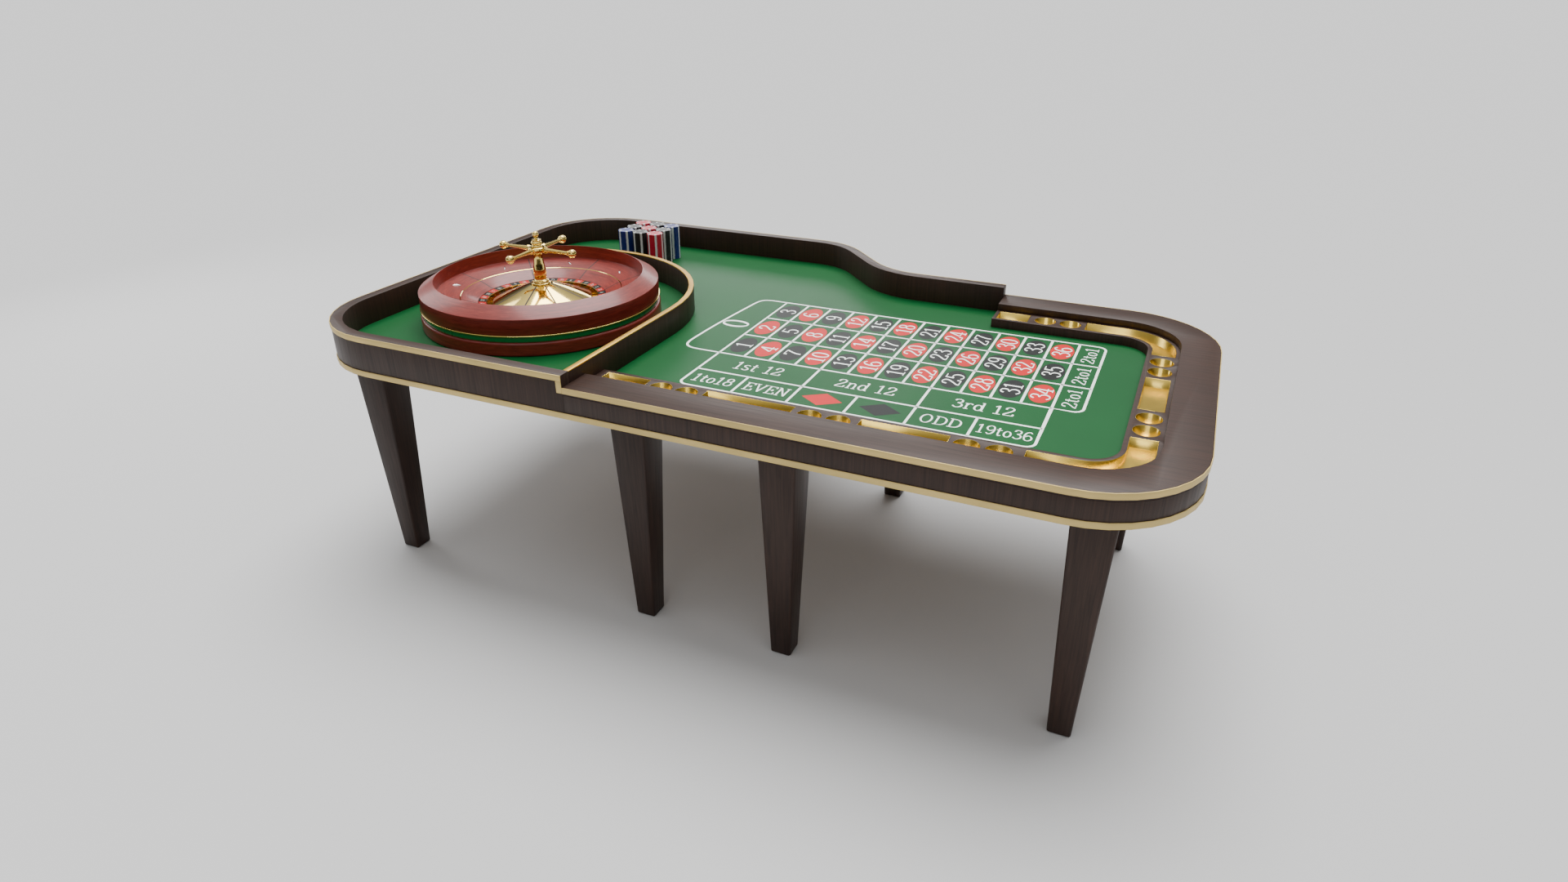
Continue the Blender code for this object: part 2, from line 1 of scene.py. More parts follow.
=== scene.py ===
"""The looks of the roulette table: lacquered walnut, brass, printed felt, a mahogany wheel and chips."""

from math import atan2, cos, hypot, pi, radians, sin

import bmesh
import bpy
from mathutils import Matrix, Vector


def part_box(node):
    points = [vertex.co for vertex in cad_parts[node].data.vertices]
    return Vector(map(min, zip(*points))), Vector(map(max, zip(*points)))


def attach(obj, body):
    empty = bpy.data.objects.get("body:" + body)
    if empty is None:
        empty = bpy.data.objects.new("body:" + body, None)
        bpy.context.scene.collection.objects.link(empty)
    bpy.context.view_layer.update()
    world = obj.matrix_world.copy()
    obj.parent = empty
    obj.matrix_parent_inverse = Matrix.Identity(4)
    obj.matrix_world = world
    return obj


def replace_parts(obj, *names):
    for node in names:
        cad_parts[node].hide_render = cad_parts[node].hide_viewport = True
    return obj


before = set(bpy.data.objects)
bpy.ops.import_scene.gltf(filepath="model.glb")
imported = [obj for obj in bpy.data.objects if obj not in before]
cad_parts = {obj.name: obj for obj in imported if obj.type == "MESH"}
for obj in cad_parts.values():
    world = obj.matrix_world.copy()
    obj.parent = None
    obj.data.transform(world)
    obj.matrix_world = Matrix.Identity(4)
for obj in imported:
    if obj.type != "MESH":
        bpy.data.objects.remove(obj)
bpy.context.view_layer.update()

FELT_TOP = 0.750
WHEEL = (-0.8354, -0.2036)
CELL = 0.0872
ROW = 0.180
GRID_X, GRID_Y = -0.1003, -0.2777
GRID_TOP = GRID_Y + 3 * ROW
GRID_END = GRID_X + 12 * CELL
COLUMN_END = GRID_END + 0.0834
DOZEN_Y = -0.4215
OUTSIDE_Y = -0.5451
LINE = 0.0078
SPOT_RADII = (0.0365, 0.069)
DIAMOND_REACH = (0.062, 0.043)
PRINT_LIFT = 0.00012
INK_LIFT = 0.00012
STROKE_LIFT = 0.00001
UPRIGHT_STROKE, LEVEL_STROKE = 0.050, 0.028

# Points of the wheel's section: distance from its axis, height above the cloth
TRACK_INNER = (0.2185, 0.0654)
TRACK_STEP = (0.270, 0.0872)
TRACK_OUTER = (0.3531, 0.1064)
RING_INNER = (0.1918, 0.0615)
RING_OUTER = (0.2165, 0.0650)
# Heights above the cloth
RING_BOTTOM = 0.0565
CROSS_HEIGHT = 0.2353

# Widths of the seams in the track and the cone, and of the frets between the numbers
TRACK_SEAM, CONE_SEAM, FRET = 0.0042, 0.0050, 0.0014
STUDS = 8
STUD_RADIUS = 0.310
STUD_HALF_LENGTH, STUD_HALF_WIDTH, STUD_HEIGHT = 0.0150, 0.0034, 0.0034
STUD_START = 17.8
STUD_TURNS = (37, 68, 39, -25)
TRACK_SLOPE = 0.227
NUMBERS_ROUND_WHEEL = (
    0, 32, 15, 19, 4, 21, 2, 25, 17, 34, 6, 27, 13, 36, 11, 30, 8, 23, 10,
    5, 24, 16, 33, 1, 20, 14, 31, 9, 22, 18, 29, 7, 28, 12, 35, 3, 26,
)

FLOOR_GREY = (0.48, 0.48, 0.48, 1.0)
SKY_STRENGTH = 1.37
SKY_STOPS = ((0.0, 0.0), (0.30, 0.07), (0.62, 0.54), (1.0, 1.0))
SUN_POWER, SUN_SPREAD = 5.4, 46
SUN_DIRECTION = (0.08, -0.70, -2.0)
CAMERA_LENS, SENSOR_WIDTH = 21.55, 36
CAMERA_PLACE = (1.231, -2.760, 1.857)
CAMERA_TILT, CAMERA_TURN = 63.09, 23.99


# ---------------------------------------------------------------- materials


class Shader:
    """A material and short ways of adding nodes to it."""

    def __init__(self, name):
        self.material = bpy.data.materials.new(name)
        self.material.use_nodes = True
        self.tree = self.material.node_tree
        self.out = self.tree.nodes["Principled BSDF"]

    def add(self, kind, inputs=None, **settings):
        made = self.tree.nodes.new(kind)
        for name, value in settings.items():
            setattr(made, name, value)
        for key, value in (inputs or {}).items():
            self.feed(made.inputs[key], value)
        return made

    def feed(self, socket, value):
        if isinstance(value, bpy.types.NodeSocket):
            self.tree.links.new(value, socket)
        else:
            socket.default_value = value

    def set(self, **inputs):
        for name, value in inputs.items():
            self.feed(self.out.inputs[name.replace("_", " ")], value)

    def maths(self, operation, a, b=0.0):
        return self.add("ShaderNodeMath", {0: a, 1: b}, operation=operation).outputs[0]

    def coords(self):
        return self.add("ShaderNodeTexCoord").outputs["Object"]

    def stretched(self, scale):
        return self.add("ShaderNodeMapping", {"Vector": self.coords(), "Scale": scale}).outputs[0]

    def noise(self, vector, scale=1.0, detail=6.0, roughness=0.6, distortion=0.0):
        inputs = {"Vector": vector, "Scale": scale, "Detail": detail, "Roughness": roughness}
        made = self.add("ShaderNodeTexNoise", inputs)
        made.inputs["Distortion"].default_value = distortion
        return made.outputs["Fac"]

    def ramp(self, value, *stops):
        made = self.add("ShaderNodeValToRGB", {"Fac": value})
        points = made.color_ramp.elements
        while len(points) < len(stops):
            points.new(0.5)
        for point, (position, colour) in zip(points, stops):
            point.position = position
            point.color = (*colour, 1.0) if len(colour) == 3 else colour
        return made.outputs["Color"]

    def spread(self, value, low, high, out_low, out_high):
        inputs = {"Value": value, 1: low, 2: high, 3: out_low, 4: out_high}
        return self.add("ShaderNodeMapRange", inputs).outputs[0]

    def mix(self, factor, a, b, blend="MIX"):
        made = self.add("ShaderNodeMix", data_type="RGBA", blend_type=blend)
        for key, value in ((0, factor), (6, a), (7, b)):
            self.feed(made.inputs[key], value)
        return made.outputs[2]

    def bump(self, height, strength, distance=0.001):
        inputs = {"Height": height, "Strength": strength, "Distance": distance}
        self.set(Normal=self.add("ShaderNodeBump", inputs).outputs[0])


def walnut(name, dark, light, roughness):
    """Dark lacquered veneer: upright grain on the sides, and grain along the table on the tops."""
    s = Shader(name)
    normal = s.add("ShaderNodeNewGeometry").outputs["Normal"]
    up = s.add("ShaderNodeSeparateXYZ", {0: normal}).outputs[2]
    flat = s.maths("GREATER_THAN", up, 0.7)
    upright = s.stretched((150, 150, 4))
    along = s.stretched((5, 170, 170))
    vector = s.add("ShaderNodeMix", {0: flat, 4: upright, 5: along}, data_type="VECTOR").outputs[1]
    grain = s.noise(vector, 1.0, 8.0, 0.65, 0.4)
    pores = s.noise(vector, 3.1, 3.0, 0.7)
    patches = s.noise(s.stretched((2.5, 2.5, 1.2)), 1.0, 3.0, 0.5)
    colour = s.ramp(grain, (0.28, dark), (0.5, [(a + b) / 2 for a, b in zip(dark, light)]), (0.74, light))
    shade = s.spread(patches, 0.3, 0.7, 0.80, 1.18)
    grey = s.add("ShaderNodeCombineColor", {0: shade, 1: shade, 2: shade}).outputs[0]
    s.set(Base_Color=s.mix(1.0, colour, grey, "MULTIPLY"))
    s.set(Roughness=s.spread(grain, 0.3, 0.7, roughness + 0.06, roughness - 0.05))
    s.set(Specular_IOR_Level=0.34)
    s.bump(s.maths("ADD", grain, pores), 0.08, 0.0005)
    return s.material


def brass(name, colour, roughness, marks=0.04, scale=(40, 40, 40), metallic=1.0):
    """Brass with faint cleaning marks and a slightly uneven tone."""
    s = Shader(name)
    fine = s.noise(s.stretched(scale), 1.0, 5.0, 0.65)
    broad = s.noise(s.stretched((6, 6, 6)), 1.0, 2.0, 0.5)
    darker = [c * 0.84 for c in colour]
    s.set(Base_Color=s.ramp(broad, (0.3, darker), (0.65, colour)), Metallic=metallic)
    s.set(Roughness=s.spread(fine, 0.3, 0.7, roughness - marks, roughness + marks))
    s.bump(broad, 0.02, 0.0004)
    return s.material


def felt_based(name, dark, light, amount=1.0):
    """Napped cloth, or ink printed on it."""
    s = Shader(name)
    nap = s.noise(s.stretched((1400, 1400, 1400)), 1.0, 2.0, 0.7)
    fibres = s.noise(s.stretched((420, 900, 500)), 1.0, 4.0, 0.7, 0.8)
    wear = s.noise(s.stretched((2.2, 2.2, 2.2)), 1.0, 4.0, 0.55)
    colour = s.ramp(s.maths("ADD", fibres, 0.5), (0.25, dark), (0.75, light))
    tone = s.spread(wear, 0.3, 0.7, 0.90, 1.10)
    grey = s.add("ShaderNodeCombineColor", {0: tone, 1: tone, 2: tone}).outputs[0]
    s.set(Base_Color=s.mix(1.0, colour, grey, "MULTIPLY"))
    s.set(Roughness=s.spread(nap, 0.2, 0.8, 0.42, 0.54), Specular_IOR_Level=0.19)
    s.bump(s.maths("ADD", nap, fibres), 0.16 * amount, 0.0005)
    return s.material


def mahogany(name):
    """Glossy red-brown veneer whose grain runs round the wheel; drawn about the wheel's own axis."""
    s = Shader(name)
    place = s.add("ShaderNodeSeparateXYZ", {0: s.coords()})
    x, y, z = place.outputs
    angle = s.maths("ARCTAN2", y, x)
    radius = s.maths("SQRT", s.maths("ADD", s.maths("MULTIPLY", x, x), s.maths("MULTIPLY", y, y)))
    inputs = {
        0: s.maths("MULTIPLY", angle, 3.2),
        1: s.maths("MULTIPLY", radius, 95),
        2: s.maths("MULTIPLY", z, 95),
    }
    vector = s.add("ShaderNodeCombineXYZ", inputs).outputs[0]
    grain = s.noise(vector, 1.0, 8.0, 0.62, 1.3)
    fine = s.noise(vector, 4.0, 3.0, 0.6)
    dark, middle, light = (0.082, 0.006, 0.004), (0.185, 0.017, 0.011), (0.285, 0.036, 0.023)
    colour = s.ramp(grain, (0.25, dark), (0.5, middle), (0.78, light))
    flecks = s.ramp(fine, (0.4, (0.05, 0.005, 0.004)), (0.6, (0.22, 0.030, 0.020)))
    s.set(Base_Color=s.mix(0.25, colour, flecks))
    s.set(Roughness=0.40, Specular_IOR_Level=0.32, Coat_Weight=0.20, Coat_Roughness=0.14)
    s.bump(grain, 0.05, 0.0006)
    return s.material


def lacquer(name, colour, roughness=0.25, coat=0.4):
    s = Shader(name)
    mottle = s.noise(s.stretched((60, 60, 60)), 1.0, 3.0, 0.5)
    s.set(Base_Color=s.ramp(mottle, (0.3, [c * 0.88 for c in colour]), (0.7, colour)))
    s.set(Roughness=s.spread(mottle, 0.3, 0.7, roughness - 0.04, roughness + 0.05))
    s.set(Coat_Weight=coat, Coat_Roughness=0.12)
    return s.material


def chip_edge(name, colour):
    """Moulded chips seen edge on: upright pale inserts round each chip, nearly lined up down the stack."""
    s = Shader(name)
    x, y, z = s.add("ShaderNodeSeparateXYZ", {0: s.coords()}).outputs
    angle = s.maths("DIVIDE", s.maths("ARCTAN2", y, x), 2 * pi)
    chip = s.maths("FLOOR", s.maths("DIVIDE", z, CHIP_THICKNESS))
    jitter = s.add("ShaderNodeTexWhiteNoise", {"W": chip}, noise_dimensions="1D").outputs["Value"]
    turned = s.maths("ADD", angle, s.maths("MULTIPLY", jitter, 0.006))
    phase = s.maths("FRACT", s.maths("ADD", s.maths("MULTIPLY", turned, 6.0), 24.0))
    pale = s.maths("LESS_THAN", phase, 0.26)
    radius = s.maths("SQRT", s.maths("ADD", s.maths("MULTIPLY", x, x), s.maths("MULTIPLY", y, y)))
    rim = s.maths("GREATER_THAN", radius, 0.0235)
    ring = s.maths("COMPARE", radius, 0.0185)
    ring.node.inputs[2].default_value = 0.0006
    mark = s.maths("MAXIMUM", s.maths("MULTIPLY", pale, rim), ring)
    grit = s.noise(s.stretched((900, 900, 900)), 1.0, 2.0, 0.6)
    body = s.ramp(grit, (0.3, [c * 0.8 for c in colour]), (0.7, [c * 1.15 for c in colour]))
    s.set(Base_Color=s.mix(mark, body, (0.62, 0.63, 0.62, 1.0)), Roughness=0.42)
    s.bump(grit, 0.05, 0.0002)
    return s.material


# ---------------------------------------------------------------- mesh tools


def add_object(name, bm, material, body, place=(0, 0, 0), smooth=None):
    """A new piece from the bmesh, riding on a CAD body and taking the material it is given."""
    mesh = bpy.data.meshes.new(name)
    bm.to_mesh(mesh)
    bm.free()
    for each in material if isinstance(material, list) else [material]:
        mesh.materials.append(each)
    if smooth is not None:
        mesh.shade_smooth()
        mesh.set_sharp_from_angle(angle=radians(smooth))
    obj = bpy.data.objects.new(name, mesh)
    bpy.context.scene.collection.objects.link(obj)
    obj.location = place
    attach(obj, body)
    return obj


def refined(node, material, body, width=0.0012, segments=2):
    """A CAD node remade with eased edges; it stands for the node."""
    bm = bmesh.new()
    bm.from_mesh(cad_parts[node].data)
    bmesh.ops.remove_doubles(bm, verts=bm.verts, dist=1e-5)
    bmesh.ops.dissolve_limit(
        bm, angle_limit=radians(0.3), verts=bm.verts, edges=bm.edges, use_dissolve_boundaries=False
    )
    sharp = [e for e in bm.edges if len(e.link_faces) == 2 and e.calc_face_angle(0) > radians(35)]
    bmesh.ops.bevel(
        bm, geom=sharp, offset=width, segments=segments, profile=0.5, affect="EDGES", clamp_overlap=True
    )
    obj = add_object("fine_" + node, bm, material, body, smooth=40)
    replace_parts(obj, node)
    return obj


def eased(profile, radius, parts=3):
    """The closed profile with its corners rounded; points on the axis stay."""
    made = []
    count = len(profile)
    for i, point in enumerate(profile):
        here = Vector(point)
        before, after = Vector(profile[i - 1]), Vector(profile[(i + 1) % count])
        if point[0] == 0:
            made.append(point)
            continue
        reach = min(radius, (before - here).length * 0.45, (after - here).length * 0.45)
        start = here + (before - here).normalized() * reach
        end = here + (after - here).normalized() * reach
        for k in range(parts + 1):
            t = k / parts
            made.append(tuple(start * (1 - t) ** 2 + here * 2 * t * (1 - t) + end * t ** 2))
    return made


def turned(name, profile, material, body, slot, steps=128, place=None, smooth=30):
    """A closed profile of (radius, height) points spun about an upright axis."""
    bm = bmesh.new()
    rings = []
    for radius, height in profile:
        if radius == 0:
            rings.append([bm.verts.new((0, 0, height))] * steps)
            continue
        turns = [2 * pi * i / steps for i in range(steps)]
        rings.append([bm.verts.new((radius * cos(a), radius * sin(a), height)) for a in turns])
    for first, second in zip(rings, rings[1:] + rings[:1]):
        for i in range(steps):
            j = (i + 1) % steps
            corners = list(dict.fromkeys((first[i], first[j], second[j], second[i])))
            if len(corners) > 2:
                bm.faces.new(corners)
    bmesh.ops.recalc_face_normals(bm, faces=bm.faces)
    return add_object(name, bm, material, body, place or (*WHEEL, FELT_TOP), smooth)


def ribbon(bm, points, half, z=0.0, closed=False):
    """A flat strip along points; half gives half its width for a sideways direction."""
    count = len(points)
    sides = []
    for i, point in enumerate(points):
        before = Vector(points[i - 1] if i or closed else points[i])
        after = Vector(points[(i + 1) % count] if i < count - 1 or closed else points[i])
        along = (after - before).normalized()
        across = Vector((-along.y, along.x))
        reach = half(across)
        if 0 < i < count - 1 or closed:
            turn = (Vector(point) - before).normalized().dot((after - Vector(point)).normalized())
            reach /= max(0.5, ((1 + turn) / 2) ** 0.5)
        here = Vector(point)
        left, right = here + across * reach, here - across * reach
        sides.append([bm.verts.new((*p, z)) for p in (left, right)])
    pairs = list(zip(sides, sides[1:]))
    if closed:
        pairs.append((sides[-1], sides[0]))
    for a, b in pairs:
        bm.faces.new((a[1], b[1], b[0], a[0]))


def rounded_path(corners, radii, steps=8):
    """A closed path through corners, with each corner rounded by its radius."""
    path = []
    for i, corner in enumerate(corners):
        here = Vector(corner)
        radius = radii[i]
        if not radius:
            path.append(tuple(here))
            continue
        before = (Vector(corners[i - 1]) - here).normalized()
        after = (Vector(corners[(i + 1) % len(corners)]) - here).normalized()
        start, end = here + before * radius, here + after * radius
        centre = start + end - here
        for k in range(steps + 1):
            a = (pi / 2) * k / steps
            path.append(tuple(centre + (start - centre) * cos(a) + (end - centre) * sin(a)))
    return path


def smooth_line(points, closed=False, parts=6):
    """A Catmull-Rom curve through the points."""
    if len(points) < 3:
        return points
    made = []
    count = len(points)
    for i in range(count if closed else count - 1):
        if closed:
            a, b, c, d = (Vector(points[(i + k) % count]) for k in (-1, 0, 1, 2))
        else:
            b, c = Vector(points[i]), Vector(points[i + 1])
            a = Vector(points[i - 1]) if i else b * 2 - c
            d = Vector(points[i + 2]) if i + 2 < count else c * 2 - b
        for k in range(parts):
            t = k / parts
            made.append(tuple(0.5 * (2 * b + (c - a) * t + (2 * a - 5 * b + 4 * c - d) * t * t
                                     + (3 * b - a - 3 * c + d) * t ** 3)))
    if not closed:
        made.append(tuple(points[-1]))
    return made


# ---------------------------------------------------------------- lettering


def ellipse(x, y, a, b):
    return [(x + a * cos(2 * pi * k / 12), y + b * sin(2 * pi * k / 12)) for k in range(12)]


SIX = [(0.47, 0.85), (0.33, 0.965), (0.15, 0.82), (0.08, 0.50), (0.13, 0.15), (0.30, 0.035), (0.47, 0.14),
       (0.52, 0.32), (0.44, 0.50), (0.29, 0.57), (0.11, 0.42)]
# Each letter's advance, its curves, its closed curves and its straight strokes, for a height of 1
LETTERS = {
    "0": (0.62, [], [ellipse(0.31, 0.5, 0.22, 0.46)], []),
    "1": (0.52, [], [],
          [[(0.27, 0.03), (0.27, 0.97)], [(0.27, 0.94), (0.10, 0.80)], [(0.09, 0.035), (0.45, 0.035)]]),
    "2": (0.62, [[(0.11, 0.70), (0.15, 0.89), (0.30, 0.965), (0.46, 0.87), (0.47, 0.68), (0.30, 0.42),
                  (0.12, 0.20), (0.08, 0.05)]], [],
          [[(0.07, 0.06), (0.52, 0.06)], [(0.51, 0.06), (0.54, 0.25)]]),
    "3": (0.60, [[(0.10, 0.78), (0.16, 0.92), (0.29, 0.965), (0.44, 0.88), (0.44, 0.66), (0.25, 0.54)],
                 [(0.25, 0.54), (0.45, 0.46), (0.52, 0.27), (0.42, 0.08), (0.24, 0.035), (0.08, 0.17)]],
          [], []),
    "4": (0.62, [], [],
          [[(0.41, 0.95), (0.05, 0.30)], [(0.05, 0.28), (0.57, 0.28)], [(0.41, 0.03), (0.41, 0.97)],
           [(0.26, 0.035), (0.56, 0.035)]]),
    "5": (0.60, [[(0.12, 0.52), (0.28, 0.61), (0.45, 0.54), (0.52, 0.34), (0.44, 0.11), (0.25, 0.035),
                  (0.08, 0.15)]], [],
          [[(0.13, 0.93), (0.49, 0.93)], [(0.15, 0.95), (0.12, 0.52)]]),
    "6": (0.62, [SIX], [], []),
    "7": (0.60, [[(0.54, 0.92), (0.39, 0.62), (0.28, 0.32), (0.26, 0.03)]], [],
          [[(0.08, 0.92), (0.54, 0.92)], [(0.09, 0.94), (0.07, 0.75)]]),
    "8": (0.62, [], [ellipse(0.31, 0.755, 0.17, 0.205), ellipse(0.31, 0.295, 0.215, 0.255)], []),
    "9": (0.62, [[(0.62 - x, 1 - y) for x, y in SIX]], [], []),
    "s": (0.48, [[(0.40, 0.60), (0.25, 0.67), (0.11, 0.58), (0.14, 0.43), (0.30, 0.34), (0.41, 0.21),
                  (0.35, 0.07), (0.22, 0.03), (0.07, 0.13)]], [], []),
    "t": (0.44, [[(0.19, 0.88), (0.19, 0.45), (0.19, 0.16), (0.26, 0.035), (0.38, 0.09)]], [],
          [[(0.05, 0.64), (0.37, 0.64)]]),
    "n": (0.62, [[(0.15, 0.50), (0.27, 0.65), (0.41, 0.61), (0.46, 0.46), (0.46, 0.03)]], [],
          [[(0.15, 0.03), (0.15, 0.67)], [(0.04, 0.035), (0.26, 0.035)], [(0.35, 0.035), (0.57, 0.035)],
           [(0.04, 0.64), (0.15, 0.64)]]),
    "d": (0.62, [], [ellipse(0.26, 0.34, 0.18, 0.305)],
          [[(0.46, 0.03), (0.46, 0.97)], [(0.35, 0.94), (0.46, 0.94)], [(0.46, 0.035), (0.57, 0.035)]]),
    "r": (0.48, [[(0.15, 0.44), (0.23, 0.62), (0.35, 0.66), (0.42, 0.56)]], [],
          [[(0.15, 0.03), (0.15, 0.67)], [(0.04, 0.035), (0.28, 0.035)], [(0.04, 0.64), (0.15, 0.64)]]),
    "o": (0.54, [], [ellipse(0.27, 0.34, 0.19, 0.305)], []),
    "E": (0.64, [], [],
          [[(0.17, 0.03), (0.17, 0.97)], [(0.04, 0.955), (0.55, 0.955)], [(0.17, 0.51), (0.41, 0.51)],
           [(0.04, 0.045), (0.57, 0.045)], [(0.55, 0.97), (0.55, 0.77)], [(0.41, 0.61), (0.41, 0.41)],
           [(0.57, 0.03), (0.57, 0.25)]]),
    "V": (0.70, [], [],
          [[(0.10, 0.96), (0.35, 0.03)], [(0.35, 0.03), (0.58, 0.96)], [(0.0, 0.965), (0.24, 0.965)],
           [(0.48, 0.965), (0.70, 0.965)]]),
    "N": (0.76, [], [],
          [[(0.15, 0.03), (0.15, 0.96)], [(0.15, 0.96), (0.59, 0.03)], [(0.59, 0.03), (0.59, 0.96)],
           [(0.03, 0.035), (0.27, 0.035)], [(0.02, 0.965), (0.17, 0.965)], [(0.47, 0.965), (0.71, 0.965)]]),
    "O": (0.74, [], [ellipse(0.36, 0.5, 0.27, 0.46)], []),
    "D": (0.74, [[(0.26, 0.955), (0.48, 0.90), (0.62, 0.72), (0.65, 0.5), (0.62, 0.28), (0.48, 0.10),
                  (0.26, 0.045)]], [],
          [[(0.17, 0.03), (0.17, 0.97)], [(0.04, 0.955), (0.27, 0.955)], [(0.04, 0.045), (0.27, 0.045)]]),
    " ": (0.34, [], [], []),
}


def nib(across):
    """Half a pen stroke's width from its sideways direction: broad uprights, thinner level strokes."""
    return hypot(UPRIGHT_STROKE * across.x, LEVEL_STROKE * across.y)


def write(bm, words, centre, size, stretch=1.0, turn=0.0, z=0.0):
    """Lettering centred on a point, this high, and turned about Z."""
    start = len(bm.verts)
    x = 0.0
    for letter in words:
        advance, curves, rings, strokes = LETTERS[letter]
        layer = 0
        for points in curves:
            ribbon(bm, [(p[0] + x, p[1]) for p in smooth_line(points)], nib, layer)
            layer += STROKE_LIFT
        for points in rings:
            ribbon(bm, [(p[0] + x, p[1]) for p in smooth_line(points, True, 4)], nib, layer, True)
            layer += STROKE_LIFT
        for points in strokes:
            ribbon(bm, [(p[0] + x, p[1]) for p in points], nib, layer)
            layer += STROKE_LIFT
        x += advance
    bm.verts.ensure_lookup_table()
    made = bm.verts[start:]
    move = (
        Matrix.Translation((*centre, z))
        @ Matrix.Rotation(turn, 4, "Z")
        @ Matrix.Diagonal((size * stretch, size, 1, 1))
        @ Matrix.Translation((-x / 2, -0.5, 0))
    )
    bmesh.ops.transform(bm, matrix=move, verts=made)


def steady(half):
    return lambda across: half


# ---------------------------------------------------------------- finishes

CHIP_THICKNESS = 0.0036
WALNUT = walnut("walnut", (0.0160, 0.0076, 0.0047), (0.042, 0.0188, 0.0116), 0.47)
BOARD = walnut("plywood", (0.20, 0.13, 0.08), (0.42, 0.30, 0.19), 0.7)
PALE_BRASS = brass("pale_brass", (0.66, 0.50, 0.20), 0.50, 0.03, (60, 60, 260), 0.75)
TRAY_BRASS = brass("polished_brass", (0.92, 0.65, 0.13), 0.24, 0.02)
CAP_BRASS = brass("cap_brass", (0.56, 0.34, 0.07), 0.46, 0.02)
GOLD = brass("gold", (0.90, 0.67, 0.20), 0.09, 0.015)
FELT = felt_based("green_felt", (0.0001, 0.040, 0.0072), (0.0003, 0.070, 0.0140))
WHITE_INK = felt_based("white_print", (0.72, 0.80, 0.74), (0.90, 0.95, 0.90), 0.5)
RED_INK = felt_based("red_print", (0.40, 0.003, 0.005), (0.54, 0.007, 0.009), 0.5)
BLACK_INK = felt_based("black_print", (0.004, 0.005, 0.005), (0.009, 0.010, 0.010), 0.5)
MAHOGANY = mahogany("mahogany")
GREEN_BAND = lacquer("green_enamel", (0.008, 0.19, 0.045), 0.3)
RED_CELL = lacquer("number_red", (0.46, 0.012, 0.012))
BLACK_CELL = lacquer("number_black", (0.010, 0.010, 0.011))
IVORY = lacquer("ivory", (0.72, 0.66, 0.55), 0.35, 0.2)
SEAM = lacquer("seam", (0.018, 0.007, 0.006), 0.6, 0.0)
STEEL = brass("spindle_steel", (0.56, 0.57, 0.59), 0.3)
SILVER = brass("deflector_chrome", (0.86, 0.85, 0.82), 0.18, 0.03)
CHIPS = {
    "blue": chip_edge("chip_blue", (0.002, 0.013, 0.15)),
    "black": chip_edge("chip_black", (0.006, 0.006, 0.007)),
    "red": chip_edge("chip_red", (0.46, 0.002, 0.024)),
}


# ---------------------------------------------------------------- table


def paint(node, material):
    """Keeps a CAD node as it is and gives it a finish."""
    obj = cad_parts[node]
    obj.data.materials.clear()
    obj.data.materials.append(material)


def make_woodwork():
    for node in ("high_wall", "low_apron", "arm_rail", "tray_ledge", "partition_wall"):
        refined(node, WALNUT, "table", 0.0012)
    for side in ("near", "far"):
        for i in range(1, 5):
            refined("leg_%s_%d" % (side, i), WALNUT, "table", 0.0025)
    paint("table_bed", BOARD)
    paint("playing_board", BOARD)


def make_brasswork():
    for node in ("trim_lower", "trim_wall", "trim_rail", "trim_step_near", "trim_step_far"):
        refined(node, PALE_BRASS, "table", 0.0005)
    refined("partition_cap", CAP_BRASS, "table", 0.0008)
    trays = ["chip_tray_%d" % i for i in range(1, 6)] + ["corner_tray_near", "corner_tray_far"]
    for node in trays + ["cup_pair_%d" % i for i in range(1, 7)]:
        refined(node, TRAY_BRASS, "table", 0.0003, 1)


def make_felt():
    """The cloth: one sheet on the playing board, cut to the inside of the rim."""
    bm = bmesh.new()
    bm.from_mesh(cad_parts["felt_cloth"].data)
    bmesh.ops.remove_doubles(bm, verts=bm.verts, dist=1e-5)
    lower = [f for f in bm.faces if f.normal.z < 0.9]
    bmesh.ops.delete(bm, geom=lower, context="FACES")
    area = sum(f.calc_area() for f in bm.faces)
    cloth = add_object("felt_sheet", bm, FELT, "table")
    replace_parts(cloth, "felt_cloth")
    return cloth, area


def zero_outline():
    """The zero's box: its far end is drawn in and both outer corners are round."""
    outer = [
        (-0.160, GRID_TOP), (-0.187, 0.254), (-0.203, 0.225), (-0.212, 0.150), (-0.222, 0.050),
        (-0.231, -0.060), (-0.236, -0.160), (-0.237, -0.225), (-0.228, -0.258), (-0.205, -0.274),
        (-0.175, GRID_Y),
    ]
    return [(GRID_X, GRID_TOP)] + smooth_line(outer, False, 4) + [(GRID_X, GRID_Y)]


